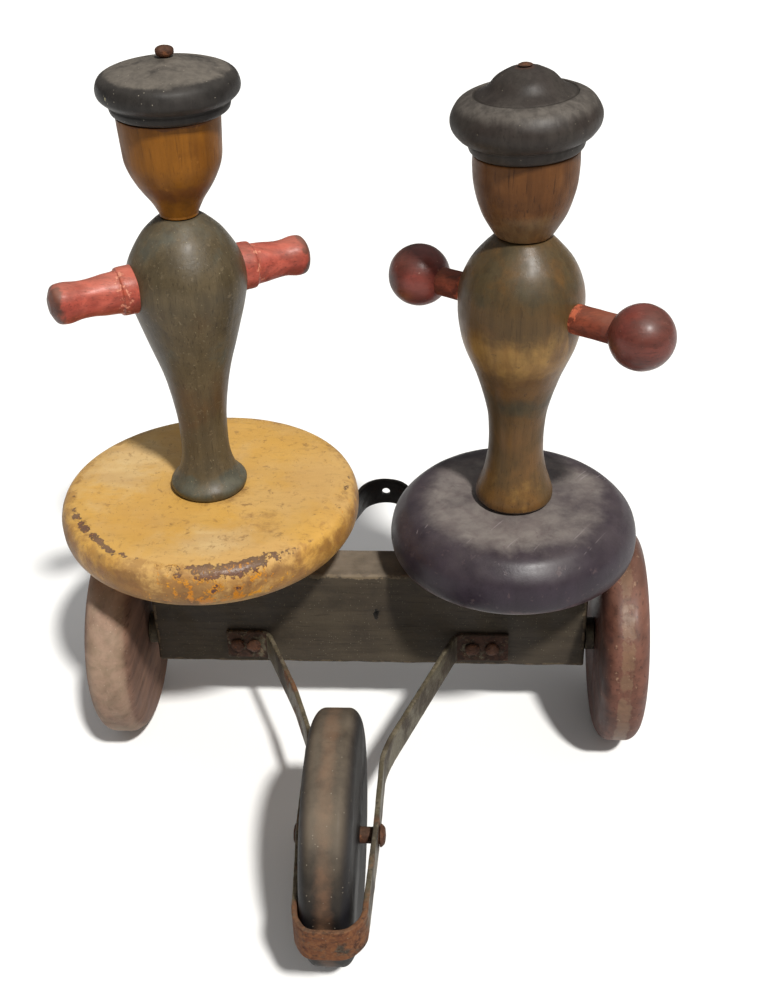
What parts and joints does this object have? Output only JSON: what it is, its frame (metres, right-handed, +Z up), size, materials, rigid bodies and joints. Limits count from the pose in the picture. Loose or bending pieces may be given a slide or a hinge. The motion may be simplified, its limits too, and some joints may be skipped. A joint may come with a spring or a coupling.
{
  "type": "whirligig",
  "caption": "Rolling wooden floor toy: turned figures stand on round discs that its rear wheels spin by friction; bent-strap front fork and rear handle bracket.",
  "frame": {"origin": "on the floor, at the middle of the toy's footprint", "axes": "+Z up, -Y to the front wheel, +X to the purple disc's side; lengths in metres in this record"},
  "size_m": [0.244, 0.2602, 0.2946],
  "materials": {
    "beam_paint": "worn dark olive-black paint on wood, dry and speckled",
    "aged_steel": "aged grey-brown steel strap with rust",
    "black_steel": "blackened steel, dull",
    "rust": "rusted steel, matt",
    "bare_wood": "unpainted wood",
    "black_paint": "charcoal paint on wood, worn to brown on the tread",
    "mauve_paint": "dusty faded mauve-brown paint on wood",
    "red_brown_paint": "faded red-brown paint on wood, tread worn",
    "ochre_paint": "ochre paint on wood, flaking and worn round the shoulder",
    "purple_paint": "dull purple-grey paint on wood, satin",
    "olive_paint": "olive grey-green paint on turned wood, satin",
    "tan_paint": "faded greenish-tan paint on turned wood, satin",
    "amber_varnish": "amber varnish on turned wood, satin",
    "brown_varnish": "brown varnish on grained wood, satin",
    "charcoal_paint": "charcoal paint on wood, worn",
    "grey_brown_paint": "grey-brown paint on wood, worn",
    "red_paint": "red paint on wood, chipped at the ends",
    "orange_red_paint": "thin faded orange-red paint on wood",
    "maroon_paint": "dark maroon paint on wood, satin, chipped"
  },
  "bodies": {
    "frame": {"beam": "beam_paint", "front_fork": "aged_steel", "rear_bracket": "black_steel", "fork_tack_1": "rust", "fork_tack_2": "rust", "fork_tack_3": "rust", "fork_tack_4": "rust", "bracket_tack_1": "black_steel", "bracket_tack_2": "black_steel", "bracket_tack_3": "black_steel", "bracket_tack_4": "black_steel", "front_axle": "rust", "left_axle_screw": "rust", "right_axle_screw": "rust", "left_inner_washer": "aged_steel", "right_inner_washer": "aged_steel", "left_outer_washer": "aged_steel", "right_outer_washer": "aged_steel", "left_spindle": "aged_steel", "right_spindle": "aged_steel", "left_spacer": "bare_wood", "right_spacer": "bare_wood", "left_thrust_washer": "aged_steel", "right_thrust_washer": "aged_steel"},
    "front_wheel_body": {"front_wheel": "black_paint"},
    "left_wheel_body": {"left_wheel": "mauve_paint"},
    "right_wheel_body": {"right_wheel": "red_brown_paint"},
    "left_figure": {"yellow_disc": "ochre_paint", "left_body": "olive_paint", "left_neck_dowel": "bare_wood", "left_head": "amber_varnish", "left_cap": "charcoal_paint", "left_cap_nail": "rust", "left_figure_near_arm": "red_paint", "left_figure_far_arm": "red_paint"},
    "right_figure": {"purple_disc": "purple_paint", "right_body": "tan_paint", "right_neck_dowel": "bare_wood", "right_head": "brown_varnish", "right_hat": "grey_brown_paint", "right_hat_nail": "rust", "right_figure_near_stick": "orange_red_paint", "right_figure_far_stick": "orange_red_paint", "right_figure_near_ball": "maroon_paint", "right_figure_far_ball": "maroon_paint"}
  },
  "joints": [
    {"name": "left_figure_spin", "type": "hinge", "parent": "frame", "child": "left_figure", "pos_m": [-0.06162, 0.0369, 0.0816], "axis": [0, 0, 1], "continuous": true},
    {"name": "right_figure_spin", "type": "hinge", "parent": "frame", "child": "right_figure", "pos_m": [0.06188, 0.0369, 0.0816], "axis": [0, 0, 1], "continuous": true},
    {"name": "left_wheel_spin", "type": "hinge", "parent": "frame", "child": "left_wheel_body", "pos_m": [-0.10417, 0.0369, 0.04543], "axis": [1, 0, 0], "continuous": true},
    {"name": "right_wheel_spin", "type": "hinge", "parent": "frame", "child": "right_wheel_body", "pos_m": [0.10773, 0.0369, 0.04543], "axis": [1, 0, 0], "continuous": true},
    {"name": "front_wheel_spin", "type": "hinge", "parent": "frame", "child": "front_wheel_body", "pos_m": [-0.00382, -0.0806, 0.04533], "axis": [1, 0, 0], "continuous": true}
  ],
  "couplings": [
    {"joint": "left_wheel_spin", "follows": "left_figure_spin", "ratio": 0.9331},
    {"joint": "right_wheel_spin", "follows": "right_figure_spin", "ratio": -1.0055}
  ]
}
